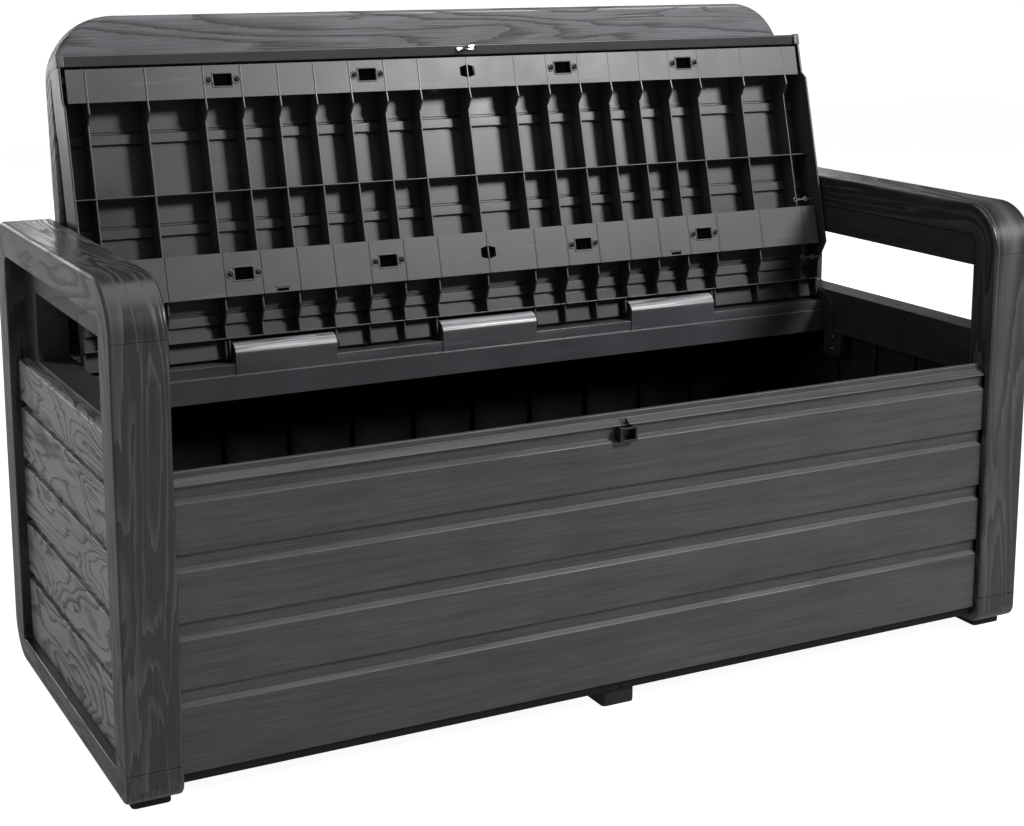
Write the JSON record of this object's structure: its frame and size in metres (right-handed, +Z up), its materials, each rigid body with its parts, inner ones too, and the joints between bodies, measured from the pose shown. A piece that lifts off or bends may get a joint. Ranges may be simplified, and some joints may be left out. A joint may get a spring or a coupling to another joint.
{
  "type": "storage bench",
  "caption": "Storage bench with wood-grained board panels, looped arms, leaning back and a ribbed seat lid hinged over a deep bay.",
  "frame": {"origin": "centre of the bench's footprint on the floor, under the middle of its bounding box", "axes": "+X to the bench's right seen from the front, along its width; -Y towards the person facing it, so the back rest is at +Y; +Z up"},
  "size_m": [1.38, 0.5944, 0.925],
  "materials": {
    "frame_plastic": "wood-grained satin",
    "board_plastic": "wood-grained satin",
    "panel_plastic": "fine wood-grained satin",
    "web_plastic": "smooth satin",
    "inner_plastic": "plain matt",
    "lid_plastic": "smooth satin",
    "band_plastic": "smooth gloss",
    "foot_rubber": "matt",
    "lock_plastic": "matt",
    "steel": "zinc plated"
  },
  "bodies": {
    "root": {"side_frame_left": "frame_plastic", "side_frame_right": "frame_plastic", "side_web_left": "web_plastic", "side_web_right": "web_plastic", "side_boards_left": "board_plastic", "side_boards_right": "board_plastic", "front_panel": "panel_plastic", "back_panel": "inner_plastic", "floor_panel_left": "inner_plastic", "floor_panel_right": "inner_plastic", "foot_front_left": "foot_rubber", "foot_front_right": "foot_rubber", "foot_rear_left": "foot_rubber", "foot_rear_right": "foot_rubber", "foot_centre_front": "foot_rubber", "foot_centre_rear": "foot_rubber", "hinge_rail": "lid_plastic", "hinge_pin_centre": "steel", "hinge_pin_left": "steel", "hinge_pin_right": "steel", "rail_end_plate_left": "web_plastic", "rail_end_plate_right": "web_plastic", "rail_screw_upper_left": "steel", "rail_screw_upper_right": "steel", "rail_screw_lower_left": "steel", "rail_screw_lower_right": "steel", "backrest_front": "frame_plastic", "backrest_rear": "frame_plastic", "lock_housing": "lock_plastic"},
    "lid": {"lid_panel": "lid_plastic", "lid_band_front": "band_plastic", "lid_band_middle": "band_plastic", "lid_screw_01": "steel", "lid_screw_02": "steel", "lid_screw_03": "steel", "lid_screw_04": "steel", "lid_screw_05": "steel", "lid_screw_06": "steel", "lid_screw_07": "steel", "lid_screw_08": "steel", "lid_screw_09": "steel", "lid_screw_10": "steel", "lid_screw_11": "steel", "lid_screw_12": "steel", "lid_screw_13": "steel", "lid_screw_14": "steel", "lid_screw_15": "steel", "lid_screw_16": "steel", "lid_lock_staple": "steel"}
  },
  "joints": [
    {"name": "lid_hinge", "type": "hinge", "parent": "root", "child": "lid", "pos_m": [0, 0.12476, 0.453], "axis": [1, 0, 0], "range_deg": [0, 104.58]}
  ]
}
